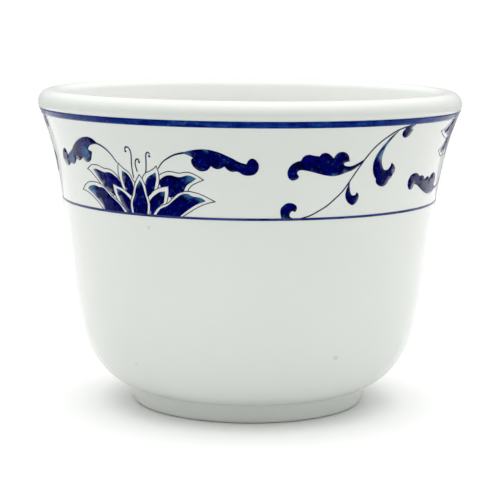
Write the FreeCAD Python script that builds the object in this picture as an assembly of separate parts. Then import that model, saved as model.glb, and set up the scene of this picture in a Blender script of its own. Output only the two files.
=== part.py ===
import FreeCAD, Part
import math
import os

# A footed porcelain teacup with a cobalt lotus frieze, in millimetres, +Z up.
# The origin is the centre of the ring on which the cup stands.
# Azimuths are degrees round the cup from its front, which faces -Y, towards +X.

# Overall form, over the glaze
rim_diameter = 76.2
cup_height = 56.8
foot_diameter = 42.3
foot_height = 3.5

# Lip: a round bead, and the lean of the wall where the bead leaves it
lip_radius = 2.2
lip_lean = 22.8

# Outer wall, from the foot up and from the rim down
haunch_radius = 27.8
haunch_height = 8.0
belly_radius = 30.95
belly_height = 16.0
neck_narrowing = 3.9
neck_depth = 16.8
flare_narrowing = 2.24
flare_depth = 8.8

# Foot ring and the underside beside it
foot_ring_width = 3.4
foot_edge_radius = 0.95
foot_lean = 14.0
crease_radius = 0.7
underside_slope = 19.0
recess_depth = 2.6
recess_corner_radius = 1.0

# Clay thickness and the inside
wall_thickness = 3.6
floor_thickness = 4.4
inner_corner_radius = 12.0

# Glaze, and the angle on the foot's rounded edges at which it stops
glaze_thickness = 0.25
glaze_stop_angle = 45.0

# Cobalt print over the glaze
print_clearance = 0.03
print_thickness = 0.08
band_depth = 3.15
band_width = 1.08
line_depth = 19.36
line_width = 0.4
stem_width = 0.26
stamen_width = 0.2
group_sides = ("front", "right", "back")
hanging_side = "right"
lotus_azimuth = -32.0
vine_azimuth = 28.5

# Heights of the drawn frieze, from the line's middle to the band's lower edge,
# the sums of heights about which a hanging flower and its leaves are turned,
# and how much wider they spread than an upright flower
drawn_height = 15.1
turned_petal_sum = 16.2
turned_leaf_sum = 13.8
turned_spread = 1.08

# A print's shape is a list of strokes. A stroke is a smooth curve through its points, and strokes meet at corners.
# A point is degrees from the motif's middle and millimetres above the frieze line.
petals = {
    "middle": [
        [(-2.4, 0.0), (-2.6, 1.6), (-1.4, 3.5), (-0.6, 5.0), (0.75, 5.85)],
        [(0.75, 5.85), (1.8, 4.3), (2.5, 2.5), (2.2, 0.0)],
    ],
    "inner_left": [
        [(-4.3, 3.8), (-5.3, 5.6), (-5.1, 7.25)],
        [(-5.1, 7.25), (-2.9, 6.5), (-1.7, 5.1), (-2.6, 3.0)],
    ],
    "inner_right": [
        [(4.3, 3.7), (5.8, 5.7), (6.0, 7.4)],
        [(6.0, 7.4), (3.4, 6.4), (2.4, 5.1), (3.2, 2.9)],
    ],
    "front_left": [
        [(-6.4, 1.5), (-7.8, 3.1), (-8.0, 4.15)],
        [(-8.0, 4.15), (-5.5, 3.6), (-3.3, 2.2), (-3.2, 0.0)],
        [(-3.2, 0.0), (-4.4, 0.0)],
        [(-4.4, 0.0), (-5.2, 0.85), (-6.4, 1.5)],
    ],
    "front_right": [
        [(7.6, 2.2), (8.2, 3.3), (8.4, 4.3)],
        [(8.4, 4.3), (5.9, 3.7), (3.4, 2.3), (3.3, 0.0)],
        [(3.3, 0.0), (3.9, 0.0)],
        [(3.9, 0.0), (5.4, 1.4), (7.6, 2.2)],
    ],
    "upper_left": [
        [(-9.2, 2.9), (-11.7, 3.9), (-13.4, 4.8), (-16.8, 6.95)],
        [(-16.8, 6.95), (-13.5, 6.8), (-10.3, 6.75), (-7.3, 5.9), (-5.8, 4.5)],
        [(-5.8, 4.5), (-7.0, 4.5), (-8.8, 4.9)],
        [(-8.8, 4.9), (-9.5, 3.8), (-9.2, 2.9)],
    ],
    "upper_right": [
        [(9.6, 2.8), (11.2, 3.9), (13.9, 4.6), (17.7, 6.65)],
        [(17.7, 6.65), (15.2, 7.1), (12.9, 6.8), (10.4, 7.05), (7.1, 6.4), (6.3, 4.9)],
        [(6.3, 4.9), (7.7, 5.0), (9.7, 5.2)],
        [(9.7, 5.2), (9.5, 4.0), (9.6, 2.8)],
    ],
    "lower_left": [
        [(-13.9, 0.0), (-17.2, 2.1), (-21.0, 3.45)],
        [(-21.0, 3.45), (-18.2, 4.2), (-13.8, 4.0), (-9.9, 2.3), (-7.0, 1.1), (-5.4, 0.0)],
    ],
    "lower_right": [
        [(12.2, 0.0), (15.9, 1.7), (20.1, 2.95)],
        [(20.1, 2.95), (16.9, 3.75), (14.4, 4.05), (11.3, 3.1), (9.3, 1.9)],
        [(9.3, 1.9), (6.9, 1.45), (4.9, 0.0)],
    ],
}

stamens = [
    [(-1.4, 7.5), (-1.1, 9.3), (-1.3, 10.9), (-2.1, 11.4), (-2.8, 10.6)],
    [(0.2, 7.6), (-0.05, 8.6), (0.55, 9.35), (1.35, 8.9)],
    [(3.1, 7.6), (3.5, 9.3), (4.15, 10.5), (5.0, 10.0)],
]

right_leaf = [
    [(14.8, 10.95), (20.5, 11.55), (27.0, 10.3), (31.2, 9.25)],
    [(31.2, 9.25), (32.8, 10.2), (34.4, 9.2), (33.3, 7.5), (30.5, 7.45), (28.6, 8.0), (26.4, 8.2), (25.4, 8.8)],
    [(25.4, 8.8), (23.6, 8.35), (21.9, 8.85)],
    [(21.9, 8.85), (19.6, 7.95), (16.9, 8.9), (17.1, 10.1)],
    [(17.1, 10.1), (14.8, 10.8)],
]
right_stem = [(6.9, 8.0), (8.6, 9.3), (11.5, 10.4), (15.0, 10.9)]

left_leaf = [
    [(-12.6, 11.6), (-16.3, 12.5), (-20.8, 11.9), (-26.5, 9.9), (-30.0, 8.8)],
    [(-30.0, 8.8), (-31.6, 9.85), (-34.2, 8.3), (-32.2, 6.85), (-28.5, 7.35), (-24.5, 8.45)],
    [(-24.5, 8.45), (-22.6, 8.15), (-20.9, 8.7)],
    [(-20.9, 8.7), (-18.5, 8.1), (-15.8, 10.0)],
    [(-15.8, 10.0), (-17.0, 10.45)],
    [(-17.0, 10.45), (-15.0, 11.25), (-12.6, 11.3)],
]
left_stem = [(-6.5, 8.7), (-8.6, 10.1), (-10.6, 11.0), (-12.9, 11.45)]

vine_stem = [(-14.0, 0.2), (-6.6, 2.1), (-1.0, 5.4), (2.9, 9.0), (8.4, 12.8), (15.3, 14.75), (20.0, 15.4)]
vine_leaf = [
    [(3.2, 9.3), (-1.5, 7.7), (-5.5, 7.1), (-10.5, 7.7), (-15.7, 8.1)],
    [(-15.7, 8.1), (-15.3, 7.1), (-17.2, 6.55), (-18.4, 8.2), (-15.4, 9.75)],
    [(-15.4, 9.75), (-13.1, 10.8), (-10.2, 10.5)],
    [(-10.2, 10.5), (-8.2, 11.0), (-5.9, 10.1)],
    [(-5.9, 10.1), (-3.6, 11.1), (-1.2, 9.5)],
    [(-1.2, 9.5), (-2.9, 9.15)],
    [(-2.9, 9.15), (-0.6, 8.7), (3.2, 9.5)],
]
vine_curl = [
    [(-19.5, 0.0), (-19.9, 1.6), (-17.6, 2.8), (-15.3, 1.8), (-15.9, 1.25)],
    [(-15.9, 1.25), (-17.3, 0.9), (-15.5, 0.0)],
]
small_drop = [
    [(-0.5, 5.9), (-1.2, 3.8), (0.8, 2.1), (3.2, 3.3), (2.4, 4.2)],
    [(2.4, 4.2), (0.8, 3.75), (-0.2, 5.9)],
]
large_drop = [
    [(11.2, 13.7), (7.7, 10.7), (6.6, 8.0), (8.4, 6.2)],
    [(8.4, 6.2), (9.3, 5.2), (11.2, 4.7), (13.2, 5.8)],
    [(13.2, 5.8), (15.2, 7.2), (13.4, 8.85)],
    [(13.4, 8.85), (12.4, 7.75), (10.2, 8.2), (9.6, 11.0), (12.0, 13.6)],
]
bud = [
    [(15.6, 14.75), (14.9, 13.9), (15.7, 13.05), (17.5, 13.2), (18.2, 14.3)],
    [(18.2, 14.3), (18.0, 14.6), (19.4, 15.3)],
]

# Radii and heights worked out from the sizes above
rim_radius = rim_diameter / 2
lip_centre = (rim_radius - lip_radius, cup_height - lip_radius)
neck = (rim_radius - neck_narrowing, cup_height - neck_depth)
flare = (rim_radius - flare_narrowing, cup_height - flare_depth)
waist = ((belly_radius + neck[0]) / 2, (belly_height + neck[1]) / 2)
foot_outer_centre = (foot_diameter / 2 - glaze_thickness - foot_edge_radius, foot_edge_radius)
foot_inner_centre = (foot_outer_centre[0] - foot_ring_width + 2 * foot_edge_radius, foot_edge_radius)
foot_inner_radius = foot_inner_centre[0] - foot_edge_radius - glaze_thickness
floor_height = recess_depth + floor_thickness
inner_corner_centre = (belly_radius - wall_thickness - inner_corner_radius, floor_height + inner_corner_radius)
line_height = cup_height - line_depth
band_top = cup_height - band_depth
frieze_scale = (band_top - band_width - line_height) / drawn_height
group_step = 360.0 / len(group_sides)


def place(radius, height):
    """A point of the half section that is turned about Z."""
    return FreeCAD.Vector(radius, 0, height)


def heading(angle):
    """A unit vector in the half section, at an angle in degrees above the outward direction."""
    return place(math.cos(math.radians(angle)), math.sin(math.radians(angle)))


def arc(centre, radius, first, last):
    """An arc in the half section about a centre, between two angles in degrees."""
    middle = place(*centre)
    through = [middle + heading(angle) * radius for angle in (first, (first + last) / 2, last)]
    return Part.Arc(*through).toShape()


def wall_curve(stations, start, end, shift):
    """A smooth wall line through stations, moved to its right by shift. start and end are its directions there."""
    curve = Part.BSplineCurve()
    curve.interpolate(Points=[place(*station) for station in stations], InitialTangent=start, FinalTangent=end)
    moved = []
    for station in stations:
        along = curve.tangent(curve.parameter(place(*station)))[0]
        moved.append(place(*station) + place(along.z, -along.x) * shift)
    curve.interpolate(Points=moved, InitialTangent=start, FinalTangent=end)
    return curve


def crease_centre():
    """Centre of the fillet between the leaning foot and the underside."""
    foot_normal = heading(-foot_lean)
    reach = place(*foot_outer_centre).dot(foot_normal) + foot_edge_radius + glaze_thickness + crease_radius
    height = foot_height - crease_radius * math.cos(math.radians(underside_slope))
    return ((reach - height * foot_normal.z) / foot_normal.x, height)


def outer_wall(shift):
    """The outer wall from the crease above the foot to the lip, moved outwards by shift."""
    start = place(*crease_centre()) + heading(90 + underside_slope) * crease_radius
    end = place(*lip_centre) + heading(-lip_lean) * lip_radius
    stations = [(start.x, start.z), (haunch_radius, haunch_height), (belly_radius, belly_height)]
    stations += [waist, neck, flare, (end.x, end.z)]
    return wall_curve(stations, heading(underside_slope), heading(90 - lip_lean), shift)


def inner_wall(shift):
    """The inner wall from the lip down to the round corner of the floor, moved inwards by shift."""
    start = place(*lip_centre) + heading(180 - lip_lean) * lip_radius
    stations = [(start.x, start.z)]
    stations += [(radius - wall_thickness, height) for radius, height in (flare, neck, waist)]
    stations.append((belly_radius - wall_thickness, inner_corner_centre[1]))
    return wall_curve(stations, heading(270 - lip_lean), heading(270), shift)


def coat_edges(shift, foot_angle):
    """The cup's skin from the foot's outer edge over the lip to the middle of the floor, moved outwards by shift."""
    crease = crease_centre()
    edge_radius = foot_edge_radius + glaze_thickness + shift
    foot_edge = arc(foot_outer_centre, edge_radius, foot_angle, -foot_lean)
    fillet = arc(crease, crease_radius - shift, 180 - foot_lean, 90 + underside_slope)
    foot_wall = Part.LineSegment(foot_edge.valueAt(foot_edge.LastParameter), fillet.valueAt(fillet.FirstParameter))
    lip = arc(lip_centre, lip_radius + shift, -lip_lean, 180 - lip_lean)
    corner = arc(inner_corner_centre, inner_corner_radius - shift, 0, -90)
    floor_edge = place(inner_corner_centre[0], floor_height + shift)
    floor = Part.LineSegment(floor_edge, place(0, floor_height + shift))
    return [foot_edge, foot_wall.toShape(), fillet, outer_wall(shift).toShape(), lip,
            inner_wall(shift).toShape(), corner, floor.toShape()]


def recess_edges(shift, foot_angle):
    """The skin under the cup from the foot's inner edge to the middle of the recess, moved outwards by shift."""
    inner_edge = arc(foot_inner_centre, foot_edge_radius + glaze_thickness + shift, foot_angle, 180)
    corner_centre = (foot_inner_radius - recess_corner_radius, recess_depth - recess_corner_radius)
    corner = arc(corner_centre, recess_corner_radius - shift, 0, 90)
    side_radius = foot_inner_radius - shift
    side = Part.LineSegment(place(side_radius, foot_edge_radius), place(side_radius, corner_centre[1]))
    ceiling = Part.LineSegment(place(corner_centre[0], recess_depth - shift), place(0, recess_depth - shift))
    return [inner_edge, side.toShape(), corner, ceiling.toShape()]


def turned(edges):
    """A solid of revolution about Z from the edges of a closed half section."""
    outline = Part.Wire(Part.__sortEdges__(edges))
    solid = Part.Face(outline).revolve(FreeCAD.Vector(0, 0, 0), FreeCAD.Vector(0, 0, 1), 360)
    if solid.Volume < 0:
        solid.reverse()
    return solid


def joined(edge_a, edge_b, last):
    """A straight edge between the first or last ends of two edges."""
    ends = [edge.valueAt(edge.LastParameter if last else edge.FirstParameter) for edge in (edge_a, edge_b)]
    return Part.LineSegment(*ends).toShape()


def make_porcelain_body():
    """The fired clay: wall, floor and foot ring."""
    outside = coat_edges(-glaze_thickness, -90)
    underside = recess_edges(-glaze_thickness, 270)
    standing_face = joined(outside[0], underside[0], last=False)
    axis = joined(outside[-1], underside[-1], last=True)
    return turned(outside + underside + [standing_face, axis])


def make_glaze(edges_of, foot_angle):
    """A coat of glaze between the clay and the outer skin."""
    clay = edges_of(-glaze_thickness, foot_angle)
    skin = edges_of(0, foot_angle)
    return turned(clay + skin + [joined(clay[0], skin[0], last=False), joined(clay[-1], skin[-1], last=True)])


def print_zone(bottom, top):
    """A film of print all round the outer wall, between two heights."""
    under = outer_wall(print_clearance).toShape()
    over = outer_wall(print_clearance + print_thickness).toShape()
    film = turned([under, over, joined(under, over, last=False), joined(under, over, last=True)])
    slab = Part.makeCylinder(rim_diameter, top - bottom, place(0, bottom))
    return film.common(slab)


def skin_radius(height):
    """Radius of the glazed wall at a height."""
    level = Part.LineSegment(place(0, height), place(rim_diameter, height))
    return outer_wall_line.intersectCC(level)[0].X


def print_point(point, azimuth, middle):
    """A drawn point, seen square on from the motif's middle azimuth and set on a plane inside the wall."""
    height = line_height + point[1] * frieze_scale
    aside = skin_radius(height) * math.sin(math.radians(azimuth + point[0] - middle))
    return FreeCAD.Vector(aside, -foot_inner_radius, height)


def print_block(strokes, azimuth):
    """A block with a drawn outline that reaches out through the wall."""
    spread = [point[0] for stroke in strokes for point in stroke]
    middle = azimuth + (min(spread) + max(spread)) / 2
    if strokes[-1][-1] != strokes[0][0]:
        strokes = strokes + [[strokes[-1][-1], strokes[0][0]]]
    edges = []
    for stroke in strokes:
        points = [print_point(point, azimuth, middle) for point in stroke]
        curve = Part.BSplineCurve()
        curve.interpolate(points)
        edges.append(curve.toShape())
    face = Part.Face(Part.Wire(edges))
    block = face.extrude(FreeCAD.Vector(0, -rim_diameter, 0))
    block.rotate(FreeCAD.Vector(0, 0, 0), FreeCAD.Vector(0, 0, 1), middle)
    return block


def ribbon(points, width):
    """The outline of a line of even width through drawn points."""
    degree = math.pi / 180 * waist[0]
    sides = ([], [])
    for index, point in enumerate(points):
        before = points[max(index - 1, 0)]
        after = points[min(index + 1, len(points) - 1)]
        across = ((after[0] - before[0]) * degree, after[1] - before[1])
        length = math.hypot(*across) * 2 / width
        offset = (-across[1] / length / degree, across[0] / length)
        sides[0].append((point[0] + offset[0], point[1] + offset[1]))
        sides[1].insert(0, (point[0] - offset[0], point[1] - offset[1]))
    return [sides[0], [sides[0][-1], sides[1][0]], sides[1]]


def turned_over(strokes, height_sum):
    """A drawn shape turned half round and spread sideways, for a motif that hangs from the band."""
    return [[(-aside * turned_spread, height_sum - height) for aside, height in stroke] for stroke in strokes]


def make_lotus(hanging):
    """The petals and stamens of one flower."""
    shapes = list(petals.values()) + [ribbon(points, stamen_width) for points in stamens]
    if hanging:
        shapes = [turned_over(strokes, turned_petal_sum) for strokes in shapes]
    films = [print_block(strokes, lotus_azimuth).common(frieze) for strokes in shapes]
    return Part.Compound([solid for film in films for solid in film.Solids])


def make_leaves(hanging):
    """The two leaves beside one flower, each with its stem."""
    leaves = []
    for leaf, stem in ((left_leaf, left_stem), (right_leaf, right_stem)):
        shapes = [leaf, ribbon(stem, stem_width)]
        if hanging:
            shapes = [turned_over(strokes, turned_leaf_sum) for strokes in shapes]
        blade, stalk = (print_block(strokes, lotus_azimuth) for strokes in shapes)
        leaves += blade.fuse(stalk).common(frieze).Solids
    return Part.Compound(leaves)


def make_vine():
    """A curved stem with its leaf, curl, drops and bud."""
    blocks = [print_block(strokes, vine_azimuth) for strokes in (vine_leaf, vine_curl, small_drop, large_drop, bud)]
    stem = print_block(ribbon(vine_stem, stem_width), vine_azimuth)
    return stem.multiFuse(blocks).common(frieze)


outer_wall_line = outer_wall(0)
frieze = print_zone(line_height + line_width / 2, band_top - band_width)

nodes = {
    "porcelain_body": make_porcelain_body(),
    "glaze_coat": make_glaze(coat_edges, -glaze_stop_angle),
    "base_glaze": make_glaze(recess_edges, 180 + glaze_stop_angle),
    "rim_band": print_zone(band_top - band_width, band_top),
    "frieze_line": print_zone(line_height - line_width / 2, line_height + line_width / 2),
}
upright = {"lotus_": make_lotus(hanging=False), "leaves_": make_leaves(hanging=False)}
hanging = {"lotus_": make_lotus(hanging=True), "leaves_": make_leaves(hanging=True)}
vine = make_vine()
for index, side in enumerate(group_sides):
    flower = hanging if side == hanging_side else upright
    for kind, shape in {**flower, "vine_": vine}.items():
        nodes[kind + side] = shape.rotated(FreeCAD.Vector(0, 0, 0), FreeCAD.Vector(0, 0, 1), index * group_step)

os.makedirs("parts", exist_ok=True)
for name, shape in nodes.items():
    print(name, "solids", len(shape.Solids), "valid", shape.isValid(), "volume", round(shape.Volume, 3))
    shape.exportStep("parts/" + name + ".step")
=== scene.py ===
"""A footed porcelain teacup with a cobalt lotus frieze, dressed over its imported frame.

Sizes are in millimetres and are turned into metres where a mesh is written. Azimuths are degrees round the
cup from its front, which faces -Y, towards +X.
"""

import logging
import math
from dataclasses import dataclass, field
from enum import Enum
from typing import Any

import bmesh
import bpy
import numpy as np
from mathutils import Matrix, Vector
from mathutils.geometry import delaunay_2d_cdt


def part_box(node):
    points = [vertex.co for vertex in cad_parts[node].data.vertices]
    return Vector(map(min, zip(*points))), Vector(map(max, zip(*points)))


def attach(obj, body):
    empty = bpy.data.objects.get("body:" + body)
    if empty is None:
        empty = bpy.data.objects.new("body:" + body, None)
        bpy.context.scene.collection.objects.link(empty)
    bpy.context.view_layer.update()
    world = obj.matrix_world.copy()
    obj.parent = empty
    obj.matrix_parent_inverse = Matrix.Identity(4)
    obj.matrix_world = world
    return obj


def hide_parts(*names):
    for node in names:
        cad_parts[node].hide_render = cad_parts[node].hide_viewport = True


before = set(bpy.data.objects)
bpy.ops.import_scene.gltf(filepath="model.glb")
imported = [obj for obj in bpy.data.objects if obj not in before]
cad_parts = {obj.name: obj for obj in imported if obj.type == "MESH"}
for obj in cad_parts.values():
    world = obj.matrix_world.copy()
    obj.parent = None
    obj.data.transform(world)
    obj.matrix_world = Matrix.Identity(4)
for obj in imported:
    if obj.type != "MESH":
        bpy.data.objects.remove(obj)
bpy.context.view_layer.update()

MM = 0.001
IMAGE_SIDE = 500
BODY = "root"

Point = tuple[float, float]
Triple = tuple[float, float, float]
Stroke = list[Point]
Colour = Triple

log = logging.getLogger("teacup")


class Socket:
    """A node socket that takes part in sums."""

    def __init__(self, graph: "Graph", socket: bpy.types.NodeSocket | None) -> None:
        """Wraps one output socket of a graph."""
        self.graph = graph
        self.socket = socket

    def math(self, operation: str, *others: Any) -> "Socket":
        """Adds a Math node of this operation over the socket and the others."""
        return self.graph.add("ShaderNodeMath", {"operation": operation}, dict(enumerate((self, *others))))

    def __add__(self, other: Any) -> "Socket":
        """The sum."""
        return self.math("ADD", other)

    __radd__ = __add__

    def __sub__(self, other: Any) -> "Socket":
        """The difference."""
        return self.math("SUBTRACT", other)

    def __rsub__(self, other: Any) -> "Socket":
        """The difference, from the right."""
        return self.graph.add("ShaderNodeMath", {"operation": "SUBTRACT"}, {0: other, 1: self})

    def __mul__(self, other: Any) -> "Socket":
        """The product."""
        return self.math("MULTIPLY", other)

    __rmul__ = __mul__

    def __truediv__(self, other: Any) -> "Socket":
        """The quotient."""
        return self.math("DIVIDE", other)


class Graph:
    """A node tree that is written as expressions."""

    def __init__(self, tree: bpy.types.NodeTree) -> None:
        """Starts on an empty tree."""
        self.tree = tree
        tree.nodes.clear()

    def add(self, kind: str, settings: dict[str, Any] | None = None, inputs: dict[Any, Any] | None = None,
            output: Any = 0) -> Socket:
        """Adds a node.

        Args:
            kind: the node's type.
            settings: what is set on the node first.
            inputs: values or sockets, by the input's name or number.
            output: the name or number of the output that is wanted.

        Returns:
            The wanted output. It holds no socket when the node has no output.
        """
        node = self.tree.nodes.new(kind)
        for name, value in (settings or {}).items():
            setattr(node, name, value)
        for name, value in (inputs or {}).items():
            target = node.inputs[name]
            if isinstance(value, Socket):
                self.tree.links.new(value.socket, target)
            else:
                target.default_value = value
        return Socket(self, node.outputs[output] if node.outputs else None)

    def coordinate(self, kind: str) -> Socket:
        """A texture coordinate of this kind."""
        return self.add("ShaderNodeTexCoord", None, None, kind)

    def measure(self, operation: str, one: Socket, other: Any) -> Socket:
        """A number that a Vector Math node gives for two vectors."""
        return self.add("ShaderNodeVectorMath", {"operation": operation}, {0: one, 1: other}, "Value")

    def noise(self, vector: Socket, scale: float, detail: float = 2.0, roughness: float = 0.5) -> Socket:
        """A noise value between 0 and 1 over a vector."""
        inputs = {"Vector": vector, "Scale": scale, "Detail": detail, "Roughness": roughness}
        return self.add("ShaderNodeTexNoise", None, inputs, "Fac")

    def stretched(self, vector: Socket, scale: Triple) -> Socket:
        """A vector with each of its parts scaled."""
        return self.add("ShaderNodeMapping", None, {"Vector": vector, "Scale": scale})

    def between(self, value: Socket, low: float, high: float, first: float = 0.0,
                last: float = 1.0) -> Socket:
        """A value's run from low to high as a smooth run from first to last."""
        inputs = {"Value": value, "From Min": low, "From Max": high, "To Min": first, "To Max": last}
        return self.add("ShaderNodeMapRange", {"interpolation_type": "SMOOTHSTEP"}, inputs)

    def blend(self, factor: Any, one: Any, other: Any) -> Socket:
        """Two colours mixed by a factor, by the numbers that a colour Mix node's inputs and output have."""
        factor_in, one_in, other_in, colour_out = 0, 6, 7, 2
        inputs = {factor_in: factor}
        for number, value in ((one_in, one), (other_in, other)):
            inputs[number] = value if isinstance(value, Socket) else (*value, 1.0)
        return self.add("ShaderNodeMix", {"data_type": "RGBA", "blend_type": "MIX"}, inputs, colour_out)


def new_material(name: str) -> tuple[bpy.types.Material, Graph]:
    """A material by name with an empty node graph."""
    material = bpy.data.materials.new(name)
    material.use_nodes = True
    return material, Graph(material.node_tree)


def finish_surface(graph: Graph, sockets: dict[str, Any], height: Socket, bump: float, reach: float) -> None:
    """Ends a material in a Principled shader with a bump.

    Args:
        graph: the material's graph.
        sockets: what goes to the shader's own sockets.
        height: the height that the bump follows.
        bump: how strongly it shows.
        reach: the bump's distance in metres.
    """
    normal = graph.add("ShaderNodeBump", None, {"Strength": bump, "Distance": reach, "Height": height})
    shader = graph.add("ShaderNodeBsdfPrincipled", None, {**sockets, "Normal": normal})
    graph.add("ShaderNodeOutputMaterial", None, {"Surface": shader})


@dataclass(frozen=True)
class Flaw:
    """A small firing flaw in the glaze, by its azimuth and its radius and height in millimetres."""

    azimuth: float
    radius: float
    height: float
    reach: float
    strength: float
    colour: Colour

    @property
    def place(self) -> Triple:
        """Where it lies, in metres."""
        angle = math.radians(self.azimuth)
        return self.radius * math.sin(angle) * MM, -self.radius * math.cos(angle) * MM, self.height * MM


@dataclass(frozen=True)
class WhiteGlaze:
    """The clear glaze over white porcelain, seen as one glossy skin with a faint green cast.

    A scale counts features in a metre. A run is the stretch of a noise over which something comes in. A swing
    is what the roughness is multiplied by at both ends.
    """

    colour: Colour = (0.685, 0.706, 0.676)
    pooled: Colour = (0.668, 0.692, 0.662)
    # Painted light: a paler colour for the inside of the cup, standing in for the brighter light inside the
    # bowl.
    inner: Colour = (0.765, 0.772, 0.755)
    flaws: tuple[Flaw, ...] = (
        Flaw(68.0, 35.9, 56.8, 0.28, 0.95, (0.012, 0.012, 0.015)),
        Flaw(-29.7, 33.7, 35.3, 0.55, 0.30, (0.36, 0.38, 0.40)),
        Flaw(29.5, 30.3, 12.9, 0.60, 0.35, (0.30, 0.36, 0.44)),
    )
    core_share: float = 0.4
    # The painted light on the inside wall fades in over this reach, in millimetres.
    inside_light_reach: float = 20.0
    drift_scale: float = 38.0
    drift_run: Point = (0.35, 0.65)
    speck: Colour = (0.20, 0.17, 0.13)
    speck_spacing: float = 9.0
    speck_size: float = 0.022
    speck_strength: float = 0.55
    chance_scale: float = 70.0
    chance_run: Point = (0.52, 0.58)
    index: float = 1.5
    roughness: float = 0.07
    gloss_scale: float = 160.0
    gloss_run: Point = (0.3, 0.7)
    gloss_swing: Point = (0.7, 1.4)
    wave_scale: float = 95.0
    ripple_scale: float = 420.0
    ripple_share: float = 0.12
    waviness: float = 0.06
    bump_reach: float = 0.2

    def material(self) -> bpy.types.Material:
        """The glaze's material: broad tone drift, a paler inside wall that is painted light, a soft waviness
        and a few faint iron specks.
        """
        material, graph = new_material("white_glaze")
        place = graph.coordinate("Object")
        drift = graph.between(graph.noise(place, self.drift_scale, detail=3.0), *self.drift_run)
        cells = {"Vector": place, "Scale": 1 / (self.speck_spacing * MM), "Randomness": 1.0}
        distance = graph.add("ShaderNodeTexVoronoi", {"feature": "F1"}, cells, "Distance")
        chance = graph.between(graph.noise(place, self.chance_scale, detail=0.0), *self.chance_run)
        spot = graph.between(distance, self.speck_size, self.speck_size * self.core_share)
        spot = spot * chance * self.speck_strength
        # Painted light: the mask below fades the glaze to the paler inner colour wherever the surface faces
        # in towards the axis.
        facing = graph.coordinate("Normal")
        outwards = graph.measure("DOT_PRODUCT", place, facing)
        painted_inside_light_mask = graph.between(outwards, 0.0, -self.inside_light_reach * MM)
        colour = graph.blend(painted_inside_light_mask, graph.blend(drift, self.colour, self.pooled), self.inner)
        colour = graph.blend(spot, colour, self.speck)
        for flaw in self.flaws:
            gap = graph.measure("DISTANCE", place, flaw.place)
            dark = graph.between(gap, flaw.reach * MM, flaw.reach * self.core_share * MM) * flaw.strength
            colour = graph.blend(dark, colour, flaw.colour)
        wave = graph.noise(place, self.wave_scale)
        wave = wave + graph.noise(place, self.ripple_scale, detail=1.0) * self.ripple_share
        swing = (self.roughness * share for share in self.gloss_swing)
        gloss = graph.between(graph.noise(place, self.gloss_scale, detail=3.0), *self.gloss_run, *swing)
        sockets = {"Base Color": colour, "Roughness": gloss, "IOR": self.index}
        finish_surface(graph, sockets, wave, self.waviness, self.bump_reach * MM)
        return material


@dataclass(frozen=True)
class FiredClay:
    """Bare fired porcelain where the foot stands."""

    colour: Colour = (0.70, 0.67, 0.60)
    worn: Colour = (0.56, 0.52, 0.44)
    pit: Colour = (0.35, 0.32, 0.27)
    pit_share: float = 0.2
    rub_scale: float = 180.0
    rub_run: Point = (0.45, 0.7)
    grain_scale: float = 3200.0
    grain_run: Point = (0.2, 0.8)
    roughness: Point = (0.50, 0.72)
    grain: float = 0.35
    bump_reach: float = 0.1

    def material(self) -> bpy.types.Material:
        """The clay's material: a fine grain with rubbed, darker patches."""
        material, graph = new_material("fired_clay")
        place = graph.coordinate("Object")
        rubbed = graph.between(graph.noise(place, self.rub_scale, detail=4.0, roughness=0.6), *self.rub_run)
        grain = graph.noise(place, self.grain_scale, detail=3.0, roughness=0.7)
        colour = graph.blend(grain * self.pit_share, graph.blend(rubbed, self.colour, self.worn), self.pit)
        gloss = graph.between(grain, *self.grain_run, *self.roughness)
        sockets = {"Base Color": colour, "Roughness": gloss}
        finish_surface(graph, sockets, grain, self.grain, self.bump_reach * MM)
        return material


class Brush(Enum):
    """Where a print's streaks run: with the film's own grain, or round the cup."""

    FILM = "grain"
    ROUND = "round"


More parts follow.
